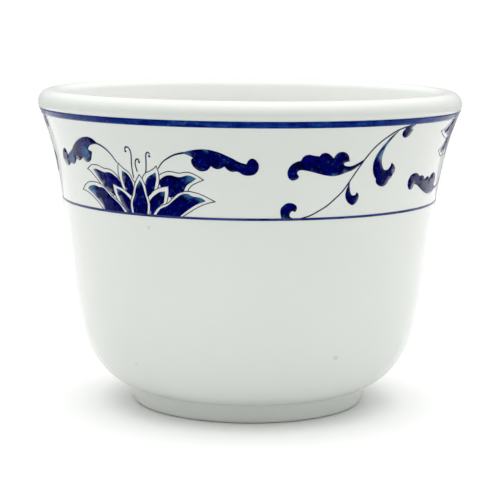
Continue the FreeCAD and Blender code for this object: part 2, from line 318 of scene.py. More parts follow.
@dataclass(frozen=True)
class CobaltPrint:
    """Cobalt under the glaze: dense where the wash pooled, thin and paler towards tips and edges.

    The glaze over it mirrors its surroundings at a slant only: face_on_mirror is the share that is left out.
    Scales, runs and swings are as in the white glaze.
    """

    name: str
    dense: Colour = (0.0004, 0.0004, 0.0180)
    full: Colour = (0.0006, 0.0012, 0.1150)
    thin: Colour = (0.0420, 0.1400, 0.3000)
    fleck: Colour = (0.0180, 0.0600, 0.1600)
    brush: Brush = Brush.FILM
    film_stretch: Triple = (1.0, 0.22, 1.0)
    film_scale: float = 3.2
    round_stretch: Triple = (220.0, 220.0, 1900.0)
    cloud_scale: float = 620.0
    cloud_run: Point = (0.3, 0.7)
    pool_streak: float = 0.55
    pool_cloud: float = 0.45
    pool_run: Point = (0.38, 0.60)
    fleck_scale: float = 1500.0
    fleck_drag: float = 0.5
    fleck_run: Point = (0.56, 0.74)
    fleck_strength: float = 0.6
    thin_drag: float = 1.1
    thin_run: Point = (0.22, 0.95)
    roughness: float = 0.07
    gloss_swing: Point = (0.8, 1.3)
    index: float = 1.5
    face_on_mirror: float = 0.050
    wave_scale: float = 95.0
    waviness: float = 0.06
    bump_reach: float = 0.2

    def material(self) -> bpy.types.Material:
        """The print's material, read from the film's own wash and grain attributes."""
        material, graph = new_material(self.name)
        place = graph.coordinate("Object")
        wash = graph.add("ShaderNodeAttribute", {"attribute_name": "wash"}, None, "Fac")
        if self.brush is Brush.FILM:
            grain = graph.add("ShaderNodeAttribute", {"attribute_name": "grain"}, None, "Vector")
            drawn = graph.stretched(grain, self.film_stretch)
            streak = graph.noise(drawn, self.film_scale, detail=3.0, roughness=0.65)
        else:
            drawn = graph.stretched(place, self.round_stretch)
            streak = graph.noise(drawn, 1.0, detail=3.0, roughness=0.6)
        cloud = graph.noise(place, self.cloud_scale, detail=3.0, roughness=0.65)
        pool = graph.between(streak * self.pool_streak + cloud * self.pool_cloud, *self.pool_run)
        lean = streak - 0.5
        flecks = graph.noise(place, self.fleck_scale, roughness=0.7) + lean * self.fleck_drag
        flecks = graph.between(flecks, *self.fleck_run) * self.fleck_strength
        base = graph.blend(flecks, graph.blend(pool, self.dense, self.full), self.fleck)
        thinness = graph.between(wash + lean * self.thin_drag, *self.thin_run)
        colour = graph.blend(thinness, base, self.thin)
        swing = (self.roughness * share for share in self.gloss_swing)
        gloss = graph.between(cloud, *self.cloud_run, *swing)
        mirror = graph.add("ShaderNodeFresnel", None, {"IOR": self.index})
        slant = ((mirror - self.face_on_mirror) / mirror).math("MAXIMUM", 0.0)
        sockets = {"Base Color": colour, "Roughness": gloss, "Specular IOR Level": 0.0, "Coat Weight": slant,
                   "Coat Roughness": self.roughness, "Coat IOR": self.index}
        wave = graph.noise(place, self.wave_scale)
        finish_surface(graph, sockets, wave, self.waviness, self.bump_reach * MM)
        return material


class Ink(Enum):
    """What a printed shape lays down, by its material's number. BARE leaves the white glaze showing."""

    BARE = -1
    COBALT = 0
    HAIRLINE = 1


@dataclass
class Palette:
    """The cup's finishes, made once."""

    glaze: bpy.types.Material = field(default_factory=lambda: WhiteGlaze().material())
    clay: bpy.types.Material = field(default_factory=lambda: FiredClay().material())
    cobalt: bpy.types.Material = field(default_factory=lambda: CobaltPrint("cobalt_wash").material())
    band: bpy.types.Material = field(default_factory=lambda: CobaltPrint(
        "cobalt_band", (0.0006, 0.0060, 0.120), (0.0060, 0.0330, 0.205), (0.040, 0.130, 0.220),
        (0.030, 0.100, 0.190), Brush.ROUND).material())
    line: bpy.types.Material = field(default_factory=lambda: CobaltPrint(
        "cobalt_line", (0.0015, 0.0100, 0.105), (0.0400, 0.0580, 0.200), (0.080, 0.120, 0.220),
        (0.065, 0.080, 0.200), Brush.ROUND).material())
    hairline: bpy.types.Material = field(default_factory=lambda: CobaltPrint(
        "cobalt_hairline", (0.008, 0.012, 0.050), (0.035, 0.042, 0.120), (0.090, 0.120, 0.220),
        (0.070, 0.080, 0.150)).material())


def new_piece(name: str, mesh: bpy.types.Mesh, nodes: list[str]) -> bpy.types.Object:
    """Hands a finished mesh over to the frame.

    Args:
        name: the piece's name.
        mesh: its mesh in metres, in the frame's own place.
        nodes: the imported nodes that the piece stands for.

    Returns:
        The piece.
    """
    piece = bpy.data.objects.new(name, mesh)
    bpy.context.scene.collection.objects.link(piece)
    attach(piece, BODY)
    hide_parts(*nodes)
    log.info("%s: %d faces", name, len(mesh.polygons))
    return piece


def hermite(one: np.ndarray, two: np.ndarray, lean: np.ndarray, fall: np.ndarray, t: float) -> np.ndarray:
    """The point a share t along a cubic span, with the slopes lean and fall at its two ends."""
    return ((2 * t**3 - 3 * t**2 + 1) * one + (t**3 - 2 * t**2 + t) * lean
            + (3 * t**2 - 2 * t**3) * two + (t**3 - t**2) * fall)


@dataclass
class TurnedSection:
    """The cup's half section over the glaze, as radii and heights."""

    rim_radius: float
    cup_height: float
    foot_radius: float = 21.15
    foot_height: float = 3.5
    lip_radius: float = 2.2
    lip_lean: float = 22.8
    haunch: Point = (27.8, 8.0)
    belly: Point = (30.95, 16.0)
    neck_narrowing: float = 3.9
    neck_depth: float = 16.8
    flare_narrowing: float = 2.24
    flare_depth: float = 8.8
    foot_ring_width: float = 3.4
    foot_edge_radius: float = 0.95
    foot_lean: float = 14.0
    crease_radius: float = 0.7
    underside_slope: float = 19.0
    recess_depth: float = 2.6
    recess_corner_radius: float = 1.0
    wall_thickness: float = 3.6
    floor_thickness: float = 4.4
    inner_corner_radius: float = 12.0
    glaze_thickness: float = 0.25
    glaze_stop_angle: float = 45.0
    wall_step: float = 1.1
    arc_step: float = 7.5
    floor_stations: int = 9
    recess_stations: int = 7

    def __post_init__(self) -> None:
        """Works out the centres and stations that the walls pass through."""
        self.lip_centre = (self.rim_radius - self.lip_radius, self.cup_height - self.lip_radius)
        self.neck = (self.rim_radius - self.neck_narrowing, self.cup_height - self.neck_depth)
        self.flare = (self.rim_radius - self.flare_narrowing, self.cup_height - self.flare_depth)
        self.waist = ((self.belly[0] + self.neck[0]) / 2, (self.belly[1] + self.neck[1]) / 2)
        outer = self.foot_radius - self.glaze_thickness - self.foot_edge_radius
        self.foot_outer_centre = (outer, self.foot_edge_radius)
        inner = outer - self.foot_ring_width + 2 * self.foot_edge_radius
        self.foot_inner_centre = (inner, self.foot_edge_radius)
        self.foot_inner_radius = inner - self.foot_edge_radius - self.glaze_thickness
        self.floor_height = self.recess_depth + self.floor_thickness
        self.inner_corner_centre = (self.belly[0] - self.wall_thickness - self.inner_corner_radius,
                                    self.floor_height + self.inner_corner_radius)
        self.outer_line = self.outer_wall(0.0)

    @staticmethod
    def heading(angle: float) -> np.ndarray:
        """A unit vector at an angle in degrees above the outward direction."""
        return np.array((math.cos(math.radians(angle)), math.sin(math.radians(angle))))

    def arc(self, centre: Point, radius: float, first: float, last: float) -> np.ndarray:
        """Points along an arc about a centre, between two angles in degrees."""
        steps = max(3, math.ceil(abs(last - first) / self.arc_step))
        return np.array([np.array(centre) + self.heading(angle) * radius
                         for angle in np.linspace(first, last, steps + 1)])

    def wall(self, stations: list[Point], start: np.ndarray, end: np.ndarray, shift: float) -> np.ndarray:
        """Points along a smooth wall line.

        Args:
            stations: the radii and heights that the wall passes through.
            start: its direction at the first station.
            end: its direction at the last one.
            shift: how far it is moved to its right.

        Returns:
            The points, evenly spaced.
        """
        points = np.array(stations)
        chords = np.hypot(*np.diff(points, axis=0).T)
        count = len(points)
        system = np.eye(count)
        sides = np.zeros((count, 2))
        sides[0], sides[-1] = start, end
        for index in range(1, count - 1):
            before, after = chords[index - 1], chords[index]
            system[index, index - 1:index + 2] = (1 / before, 2 / before + 2 / after, 1 / after)
            rise = (points[index] - points[index - 1]) / before ** 2
            sides[index] = 3 * (rise + (points[index + 1] - points[index]) / after ** 2)
        slopes = np.linalg.solve(system, sides)
        line = []
        for index, chord in enumerate(chords):
            steps = max(2, math.ceil(chord / self.wall_step))
            for step in range(steps + (index == count - 2)):
                line.append(self._moved(points, slopes, chord, index, step / steps, shift))
        return np.array(line)

    @staticmethod
    def _moved(points: np.ndarray, slopes: np.ndarray, chord: float, index: int, t: float,
               shift: float) -> np.ndarray:
        """A point a share t along one span of a wall line, moved to its right by shift."""
        one, two = points[index], points[index + 1]
        lean, fall = slopes[index] * chord, slopes[index + 1] * chord
        along = (6 * t**2 - 6 * t) * (one - two) + (3 * t**2 - 4 * t + 1) * lean + (3 * t**2 - 2 * t) * fall
        aside = np.array((along[1], -along[0])) / np.hypot(*along) * shift
        return hermite(one, two, lean, fall, t) + aside

    def crease_centre(self) -> Point:
        """Centre of the fillet between the leaning foot and the underside."""
        normal = self.heading(-self.foot_lean)
        reach = np.dot(self.foot_outer_centre, normal)
        reach += self.foot_edge_radius + self.glaze_thickness + self.crease_radius
        height = self.foot_height - self.crease_radius * math.cos(math.radians(self.underside_slope))
        return ((reach - height * normal[1]) / normal[0], height)

    def outer_wall(self, shift: float) -> np.ndarray:
        """The outer wall from the crease above the foot to the lip, moved outwards by shift."""
        start = np.array(self.crease_centre()) + self.heading(90 + self.underside_slope) * self.crease_radius
        end = np.array(self.lip_centre) + self.heading(-self.lip_lean) * self.lip_radius
        stations = [tuple(start), self.haunch, self.belly, self.waist, self.neck, self.flare, tuple(end)]
        last = self.heading(90 - self.lip_lean)
        return self.wall(stations, self.heading(self.underside_slope), last, shift)

    def inner_wall(self, shift: float) -> np.ndarray:
        """The inner wall from the lip to the round corner of the floor, moved inwards by shift."""
        start = np.array(self.lip_centre) + self.heading(180 - self.lip_lean) * self.lip_radius
        stations = [tuple(start)]
        for radius, height in (self.flare, self.neck, self.waist):
            stations.append((radius - self.wall_thickness, height))
        stations.append((self.belly[0] - self.wall_thickness, self.inner_corner_centre[1]))
        return self.wall(stations, self.heading(270 - self.lip_lean), self.heading(270), shift)

    def coat(self, shift: float, foot_angle: float) -> np.ndarray:
        """The skin from the foot's outer edge over the lip to the middle of the floor, moved out by shift."""
        edge_radius = self.foot_edge_radius + self.glaze_thickness + shift
        floor_radii = np.linspace(self.inner_corner_centre[0], 0.0, self.floor_stations)
        return np.concatenate([
            self.arc(self.foot_outer_centre, edge_radius, foot_angle, -self.foot_lean),
            self.arc(self.crease_centre(), self.crease_radius - shift, 180 - self.foot_lean,
                     90 + self.underside_slope)[:-1],
            self.outer_wall(shift)[:-1],
            self.arc(self.lip_centre, self.lip_radius + shift, -self.lip_lean, 180 - self.lip_lean)[:-1],
            self.inner_wall(shift)[:-1],
            self.arc(self.inner_corner_centre, self.inner_corner_radius - shift, 0, -90)[:-1],
            [(radius, self.floor_height + shift) for radius in floor_radii],
        ])

    def recess(self, shift: float, foot_angle: float) -> np.ndarray:
        """The skin from the foot's inner edge to the middle of the recess, moved outwards by shift."""
        corner_radius = self.recess_corner_radius
        corner = (self.foot_inner_radius - corner_radius, self.recess_depth - corner_radius)
        edge_radius = self.foot_edge_radius + self.glaze_thickness + shift
        ceiling = np.linspace(corner[0], 0.0, self.recess_stations)[1:]
        return np.concatenate([
            self.arc(self.foot_inner_centre, edge_radius, foot_angle, 180),
            self.arc(corner, corner_radius - shift, 0, 90),
            [(radius, self.recess_depth - shift) for radius in ceiling],
        ])

    def radius_at(self, height: float) -> float:
        """The glazed wall's outer radius at a height."""
        return float(np.interp(height, self.outer_line[:, 1], self.outer_line[:, 0]))


class Lathe:
    """Turns a half section about Z with Geometry Nodes. Its lengths are in millimetres."""

    WELD = 0.0005
    SLIVER = 0.0002
    NUDGE = 0.0001

    def __init__(self, segments: int = 288) -> None:
        """Builds the node tree once, for this many segments round the cup."""
        self.segments = segments
        self.tree = bpy.data.node_groups.new("lathe", "GeometryNodeTree")
        self.names = {}
        face = self.tree.interface
        for label, kind in (("Section", "NodeSocketGeometry"), ("Segments", "NodeSocketInt"),
                            ("Finish", "NodeSocketMaterial")):
            self.names[label] = face.new_socket(name=label, in_out="INPUT", socket_type=kind).identifier
        face.new_socket(name="Turned", in_out="OUTPUT", socket_type="NodeSocketGeometry")
        graph = Graph(self.tree)
        source = self.tree.nodes.new("NodeGroupInput")
        section, segments_in, finish = (Socket(graph, source.outputs[label]) for label in self.names)
        count = graph.add("GeometryNodeAttributeDomainSize", {"component": "MESH"}, {0: section},
                          "Point Count")
        grid = graph.add("GeometryNodeMeshGrid", None, {
            "Size X": 1.0, "Size Y": 1.0, "Vertices X": segments_in + 1, "Vertices Y": count})
        index = graph.add("GeometryNodeInputIndex")
        column = (index / count + self.NUDGE).math("FLOOR")
        row = index - column * count
        place = graph.add("GeometryNodeInputPosition")
        sampled = graph.add("GeometryNodeSampleIndex", {"data_type": "FLOAT_VECTOR", "domain": "POINT"},
                            {"Geometry": section, "Value": place, "Index": row})
        turned = graph.add("ShaderNodeVectorRotate", {"rotation_type": "Z_AXIS"},
                           {"Vector": sampled, "Angle": column * math.tau / segments_in})
        moved = graph.add("GeometryNodeSetPosition", None, {"Geometry": grid, "Position": turned})
        merged = graph.add("GeometryNodeMergeByDistance", None,
                           {"Geometry": moved, "Distance": self.WELD * MM})
        smooth = graph.add("GeometryNodeSetShadeSmooth", None, {"Geometry": merged, "Shade Smooth": True})
        realized = graph.add("GeometryNodeRealizeInstances", None, {"Geometry": smooth})
        dressed = graph.add("GeometryNodeSetMaterial", None, {"Geometry": realized, "Material": finish})
        sink = self.tree.nodes.new("NodeGroupOutput")
        self.tree.links.new(dressed.socket, sink.inputs["Turned"])

    def turn(self, name: str, section: np.ndarray, finish: bpy.types.Material) -> bpy.types.Mesh:
        """Turns a closed half section.

        Args:
            name: the mesh's name.
            section: radii and heights in millimetres; the last point joins the first.
            finish: the material.

        Returns:
            A plain closed mesh in metres, with its faces outwards.
        """
        points = [(0.0, -radius * MM, height * MM) for radius, height in (*section, section[0])]
        chain = bpy.data.meshes.new(name + "_section")
        chain.from_pydata(points, [(index, index + 1) for index in range(len(points) - 1)], [])
        holder = bpy.data.objects.new(name + "_section", chain)
        bpy.context.scene.collection.objects.link(holder)
        modifier = holder.modifiers.new("lathe", "NODES")
        modifier.node_group = self.tree
        modifier[self.names["Segments"]] = self.segments
        modifier[self.names["Finish"]] = finish
        evaluated = holder.evaluated_get(bpy.context.evaluated_depsgraph_get())
        mesh = bpy.data.meshes.new_from_object(evaluated)
        mesh.name = name
        bpy.data.objects.remove(holder)
        return self._outwards(mesh)

    def _outwards(self, mesh: bpy.types.Mesh) -> bpy.types.Mesh:
        """Clears a closed mesh of slivers and turns its faces outwards."""
        work = bmesh.new()
        work.from_mesh(mesh)
        bmesh.ops.dissolve_degenerate(work, dist=self.SLIVER * MM, edges=work.edges)
        if work.calc_volume(signed=True) < 0:
            bmesh.ops.reverse_faces(work, faces=work.faces)
        work.to_mesh(mesh)
        work.free()
        return mesh


@dataclass
class Vessel:
    """The clay and its two coats of glaze. Angles are degrees above the outward direction."""

    section: TurnedSection
    lathe: Lathe
    palette: Palette
    bare_edge: float = 0.04
    straight_down: float = -90.0

    def build(self) -> None:
        """Turns the three vessel pieces and hands them over."""
        section = self.section
        glaze = section.glaze_thickness
        stop = section.glaze_stop_angle
        hold = self.bare_edge
        outside = section.coat(-glaze, self.straight_down)
        underside = section.recess(-glaze, self.straight_down + 360)
        clay = np.concatenate([outside, underside[::-1]])
        self._piece("clay_body", clay, self.palette.clay, "porcelain_body")
        coat = np.concatenate([section.coat(0.0, -stop), section.coat(hold - glaze, -stop)[::-1]])
        self._piece("glaze_skin", coat, self.palette.glaze, "glaze_coat")
        stop = 180 + stop
        base = np.concatenate([section.recess(0.0, stop), section.recess(hold - glaze, stop)[::-1]])
        self._piece("foot_well_glaze", base, self.palette.glaze, "base_glaze")

    def _piece(self, name: str, outline: np.ndarray, finish: bpy.types.Material,
               node: str) -> None:
        """Turns one outline and hands it over."""
        new_piece(name, self.lathe.turn(name, outline, finish), [node])


@dataclass(frozen=True)
class Shape:
    """Closed outlines that lay down one ink.

    The outlines are in millimetres on the unrolled wall. Each pale spot is (azimuth, height, reach in
    millimetres), and the wash thins towards its middle. The brush ran away from the root, (azimuth, height).
    """

    outlines: list[np.ndarray]
    ink: Ink
    pale: tuple[Triple, ...] = ()
    root: Point = (-32.0, 34.0)


@dataclass(frozen=True)
class Pen:
    """Draws smooth outlines on the wall, unrolled at one radius. Its lengths are in millimetres."""

    wall_radius: float = 33.0
    step: float = 0.3
    least_share: float = 0.02
    hairline: float = 0.13
    longest_miter: float = 3.0
    dot_sides: int = 14

    @property
    def degree(self) -> float:
        """Millimetres in a degree of azimuth."""
        return math.radians(1) * self.wall_radius

    def flat(self, points: Any) -> np.ndarray:
        """(azimuth, height) points as millimetres on the unrolled wall."""
        return np.array(points, float) * (self.degree, 1.0)

    def curve(self, points: Stroke) -> np.ndarray:
        """Points along a smooth curve through a stroke's points, in millimetres."""
        knots = self.flat(points)
        if len(knots) == 2:
            steps = max(1, math.ceil(np.hypot(*(knots[1] - knots[0])) / self.step))
            return np.linspace(*knots, steps + 1)
        ends = (2 * knots[0] - knots[1], 2 * knots[-1] - knots[-2])
        knots = np.vstack([ends[0], knots, ends[1]])
        line = []
        for one, two, three, four in zip(knots, knots[1:], knots[2:], knots[3:]):
            steps = max(2, math.ceil(np.hypot(*(three - two)) / self.step))
            spans = [np.hypot(*(b - a)) ** 0.5 for a, b in ((one, two), (two, three), (three, four))]
            lean = (two - one) / spans[0] - (three - one) / (spans[0] + spans[1]) + (three - two) / spans[1]
            fall = (three - two) / spans[1] - (four - two) / (spans[1] + spans[2]) + (four - three) / spans[2]
            lean, fall = lean * spans[1], fall * spans[1]
            line += [hermite(two, three, lean, fall, t) for t in np.arange(steps) / steps]
        return np.array([*line, knots[-2]])

    def outline(self, strokes: list[Stroke]) -> np.ndarray:
        """A closed outline, counterclockwise, from strokes that meet at corners.

        Args:
            strokes: each one's points after the corner where the stroke before it ends.

        Returns:
            The outline's points in millimetres.
        """
        corners = [stroke[-1] for stroke in (strokes[-1], *strokes)]
        points = np.concatenate([self.curve([corner, *stroke]) for corner, stroke in zip(corners, strokes)])
        keep = np.hypot(*(points - np.roll(points, 1, axis=0)).T) > self.step * self.least_share
        points = points[keep]
        following = np.roll(points, -1, axis=0)
        area = np.sum(points[:, 0] * following[:, 1] - points[:, 1] * following[:, 0])
        return points if area > 0 else points[::-1]

    def inset(self, outline: np.ndarray, width: float) -> np.ndarray:
        """A closed outline moved inwards, with its sharp points drawn in."""
        before = outline - np.roll(outline, 1, axis=0)
        after = np.roll(outline, -1, axis=0) - outline
        before /= np.hypot(*before.T)[:, None]
        after /= np.hypot(*after.T)[:, None]
        inward = np.stack([-(before + after)[:, 1], (before + after)[:, 0]], axis=1)
        length = np.hypot(*inward.T)[:, None]
        return outline + inward / length * np.minimum(width * 2 / length, width * self.longest_miter)

    def ribbon(self, points: Stroke, first: float, last: float) -> list[np.ndarray]:
        """A line whose width runs from first to last, as a chain of four-sided outlines."""
        line = self.curve(points)
        along = np.gradient(line, axis=0)
        across = np.stack([-along[:, 1], along[:, 0]], axis=1) / np.hypot(*along.T)[:, None]
        half = np.linspace(first, last, len(line))[:, None] / 2
        left, right = line + across * half, line - across * half
        return [np.array([right[index], right[index + 1], left[index + 1], left[index]])
                for index in range(len(line) - 1)]

    def dot(self, centre: Point, radius: float) -> np.ndarray:
        """A round dot."""
        angles = np.linspace(0, math.tau, self.dot_sides + 1)[:-1]
        return self.flat([centre])[0] + radius * np.stack([np.cos(angles), np.sin(angles)], axis=1)


@dataclass(frozen=True)
class Petal:
    """A petal: a thin outer line, a white border inside it, and a painted middle."""

    border: list[Stroke]
    middle: list[Stroke]
    pale: tuple[Triple, ...]

    def shapes(self, pen: Pen) -> list[Shape]:
        """The petal's shapes, from the back to the front."""
        border = pen.outline(self.border)
        return [Shape([border], Ink.HAIRLINE), Shape([pen.inset(border, pen.hairline)], Ink.BARE),
                Shape([pen.outline(self.middle)], Ink.COBALT, self.pale)]


# The nine petals, from the back to the front. A drawing holds (azimuth, height) points, and each of its
# strokes starts at the corner where the one before it ends.
PETALS = (
    Petal([[(-48.4, 43.05), (-50.4, 43.95), (-51.8, 44.3)],
           [(-50.8, 44.65), (-49.5, 45.1), (-46.5, 45.25), (-44.1, 44.85), (-41.3, 44.7), (-39.3, 43.95),
            (-38.2, 43.2), (-36.5, 42)],
           [(-42, 40.2), (-46.5, 42)]],
          [[(-47.6, 44.5), (-45.2, 44.2), (-43.9, 44.05), (-42.6, 44.15), (-41.3, 44.05), (-40, 43.65),
            (-38.9, 43.25), (-37.5, 42)],
           [(-40, 40.2), (-44.5, 41.5)],
           [(-46.3, 42.6), (-48, 43.75), (-48.8, 44.35)]],
          ((-48.6, 44.2, 1.7),)),
    Petal([[(-24.9, 44.45), (-23.1, 45), (-21.6, 45.15), (-19.1, 44.95), (-16.3, 45.15), (-13.7, 44.5),
            (-12.1, 43.85)],
           [(-14.2, 43.3), (-15.4, 42.9), (-16.4, 42.3), (-17, 41.3)],
           [(-21, 40.3), (-26, 43.6)]],
          [[(-23.9, 44.05), (-22.8, 44.35), (-21.5, 44.45), (-19.1, 44.2), (-16.8, 44.55), (-15.7, 44.45),
            (-14.3, 44.05)],
           [(-15.5, 43.5), (-16.8, 43), (-17.7, 42.25), (-18.1, 41.4)],
           [(-22.5, 40.8), (-25.6, 43.2)]],
          ((-15.2, 44.0, 2.3),)),
    Petal([[(-38.4, 45.3), (-38.65, 44.3), (-38.4, 43.2), (-37.95, 42.2), (-37.4, 41.2)],
           [(-35, 40), (-33, 41.5), (-32.9, 42.9)],
           [(-33.6, 43.4), (-34.1, 44.1), (-34.9, 44.65), (-36, 45), (-37.1, 45.5), (-38.1, 46.05)]],
          [[(-37.3, 43.8), (-37.3, 43.1), (-36.9, 42.25), (-36.5, 41.4), (-35, 40)],
           [(-34.1, 41.2), (-33.7, 42.1), (-33.8, 42.8)],
           [(-35, 44), (-36, 44.45), (-37.1, 44.65)]],
          ((-37.0, 44.5, 1.2),)),
    Petal([[(-26.6, 45.4), (-27.9, 45), (-29.2, 44.65), (-30.1, 44.1), (-30.7, 43.3)],
           [(-30.5, 41.5), (-29, 40), (-26.9, 40.6)],
           [(-25.9, 41.8), (-25.2, 42.75), (-24.9, 43.7), (-25.05, 45), (-25.5, 46)]],
          [[(-27.2, 44.4), (-28.5, 43.9), (-29.2, 43.3), (-29.6, 42.6), (-29.3, 40.85), (-28.6, 40.2)],
           [(-27.2, 41.4), (-26.2, 43.1), (-25.9, 43.9), (-26, 44.8)]],
          ((-26.3, 44.5, 1.2),)),
    Petal([[(-41.2, 41.2), (-40.75, 40.3), (-39.4, 38.9), (-37, 37.5)],
           [(-34.5, 37.5), (-34.4, 40.5)],
           [(-35.6, 40.95), (-36.7, 41.4), (-37.9, 41.75), (-39.4, 42), (-41.3, 42.4)]],
          [[(-39.85, 40.7), (-39.3, 40.1), (-38.8, 39.2), (-37.8, 38.55), (-36.3, 37.6)],
           [(-35.2, 37.6), (-35.1, 39.5), (-35.5, 40.1)],
           [(-36.5, 40.6), (-37.6, 41.05), (-38.7, 41.35), (-40, 41.55)]],
          ((-39.7, 41.2, 1.0),)),
    Petal([[(-29.3, 40.4), (-28.1, 41.2), (-27.1, 41.75), (-24.9, 42.35), (-22.3, 42.7)],
           [(-22.4, 41.5), (-23.1, 39.9), (-24, 39)],
           [(-26.5, 37.5), (-29, 37.5)]],
          [[(-28.6, 39.85), (-27.8, 40.5), (-26.6, 41.05), (-25.35, 41.5), (-23.6, 41.7)],
           [(-23.7, 41.05), (-24, 40.3), (-24.2, 39.75), (-25.35, 39.3), (-27, 38.45), (-28.1, 37.6)],
           [(-28.6, 37.6)]],
          ((-24.0, 41.4, 1.0),)),
    Petal([[(-35.45, 38.7), (-35.1, 39.9), (-34.4, 40.65), (-33.9, 41.5), (-33.4, 42.4), (-32.6, 43.25),
            (-31.25, 44.35)],
           [(-30.4, 43.65), (-29.5, 42.4), (-29.2, 40.95), (-28.7, 40.2), (-28.5, 39.2), (-28.9, 37.5)],
           [(-35.2, 37.5)]],
          [[(-34.6, 39.1), (-34.2, 39.9), (-33.6, 40.6), (-32.7, 42.15), (-31.25, 43.3)],
           [(-30.7, 42.8), (-30.1, 41.3), (-29.55, 40.1), (-29.35, 39.2), (-29.8, 37.5)],
           [(-34.4, 37.5)]],
          ((-31.6, 42.9, 1.1),)),
    Petal([[(-49, 38.85), (-51.9, 39.85), (-53.8, 40.25), (-56.2, 40.45)],
           [(-54.4, 41.35), (-52.2, 42.05), (-49.4, 42.25), (-46.2, 42), (-44, 41.3), (-41.9, 40.25),
            (-39.2, 39.2), (-36.3, 37.5)],
           [(-46.4, 37.5)]],
          [[(-46.9, 38.55), (-49.1, 39.5), (-51.5, 40.35), (-53, 40.85)],
           [(-51.9, 41.3), (-49.3, 41.6), (-47.5, 41.4), (-45.8, 41.4), (-44.9, 41.2), (-42.8, 40.2),
            (-39.3, 38.75), (-37.6, 37.5)],
           [(-45.8, 37.5)]],
          ((-52.2, 40.9, 3.4),)),
    Petal([[(-26.6, 38.7), (-25.2, 39.3), (-23, 39.8), (-21.6, 40.6), (-19.6, 41.55), (-17.2, 41.95),
            (-14.2, 41.7), (-11.8, 41.15), (-9, 40.3)],
           [(-11.6, 39.9), (-14.2, 39.2), (-18.7, 37.5)],
           [(-28.2, 37.5)]],
          [[(-25.5, 38.65), (-23.1, 39.35), (-20.5, 40.6), (-19.4, 41.1), (-18.1, 41.45), (-16.8, 41.45),
            (-15.7, 41.1), (-13.1, 40.85), (-11.9, 40.35)],
           [(-14.6, 39.7), (-17.4, 38.6), (-19.8, 37.5)],
           [(-27.1, 37.5)]],
          ((-13.2, 40.6, 1.6), (-16.5, 41.4, 1.5))),
)

# The three stamens, each a line and the dot at its end.
STAMENS = (
    ([(-33.2, 43.6), (-33.4, 44.9), (-33.3, 46.2), (-33.05, 47.2), (-33, 48), (-33.3, 48.5), (-33.9, 48.8),
      (-34.5, 48.7), (-34.85, 48.3)], (-34.7, 48.05)),
    ([(-31.8, 44.7), (-32.1, 46), (-31.9, 46.5), (-31.5, 46.8), (-31, 46.85), (-30.75, 46.6)],
     (-30.75, 46.35)),
    ([(-29.2, 44.5), (-28.9, 45), (-28.5, 46.5), (-28.3, 47.6), (-27.9, 48.05), (-27.5, 48.1),
      (-27.1, 47.8)], (-27.3, 47.45)),
)


@dataclass(frozen=True)
class Flower:
    """A lotus as it stands on the frieze line left of the cup's front, drawn from the back petals forward."""

    pen: Pen
    stamen_width: float = 0.24
    stamen_root: float = 0.8
    dot_radius: float = 0.2

    def shapes(self) -> list[Shape]:
        """Every shape of the flower, from the back to the front."""
        shapes = []
        for line, end in STAMENS:
            root_width = self.stamen_width * self.stamen_root
            shapes.append(Shape(self.pen.ribbon(line, root_width, self.stamen_width), Ink.HAIRLINE))
            shapes.append(Shape([self.pen.dot(end, self.dot_radius)], Ink.HAIRLINE))
        for petal in PETALS:
            shapes += petal.shapes(self.pen)
        return shapes


# The leaves beside the lotus and their stems.
RIGHT_LEAF = [
    [(-14.5, 48.85), (-11.5, 49), (-8.5, 48.65), (-5, 47.75), (-2.5, 46.95), (-0.8, 46.65)],
    [(-0.5, 47.1), (0.1, 47.5), (0.8, 47.6), (1.7, 47.3), (2.4, 46.6), (2.3, 45.7), (1.4, 45), (0, 44.75),
     (-1.5, 44.85), (-3.2, 45.4), (-4.5, 45.35), (-5.6, 45.6), (-6.6, 46.2)],
    [(-7.4, 45.9), (-8.4, 45.75), (-9.4, 45.9), (-10.15, 46.25)],
    [(-10.8, 45.7), (-12, 45.35), (-13.6, 45.45), (-14.9, 46.1), (-15.45, 46.9), (-15.2, 47.35),
     (-14.85, 47.5)],
    [(-15.4, 47.75), (-17.4, 48.2)],
    [(-17.4, 48.4)],
]
LEFT_LEAF = [
    [(-46.6, 49.75), (-48.2, 49.9), (-50.5, 49.75), (-52.8, 49.3), (-54.7, 48.75), (-56.6, 48.05),
     (-58.2, 47.3), (-60.6, 46.55), (-62, 46.2)],
    [(-62.3, 46.65), (-63, 47.2), (-64.1, 47.2), (-65.2, 46.8), (-65.9, 46.2), (-66.3, 45.2),
     (-65.2, 44.5), (-64.1, 44.25), (-62.7, 44.3), (-61.3, 44.7), (-58.8, 44.75), (-57.7, 45.1),
     (-56.5, 45.85)],
    [(-55.8, 45.65), (-54.9, 45.55), (-52.9, 46.1)],
    [(-51.8, 45.55), (-50.5, 45.5), (-49.1, 45.9), (-48.3, 46.7), (-47.8, 47.4)],
    [(-49.3, 47.7)],
    [(-48.7, 48.2), (-47.8, 48.5), (-46.2, 48.75), (-44.7, 48.8)],
    [(-44.7, 49.05)],
]
RIGHT_STEM = [(-25.1, 45.45), (-23.5, 46.6), (-21.6, 47.4), (-19.7, 47.95), (-17.3, 48.3)]
LEFT_STEM = [(-38.4, 45.95), (-40.5, 47.5), (-42.8, 48.5), (-44.9, 48.95)]


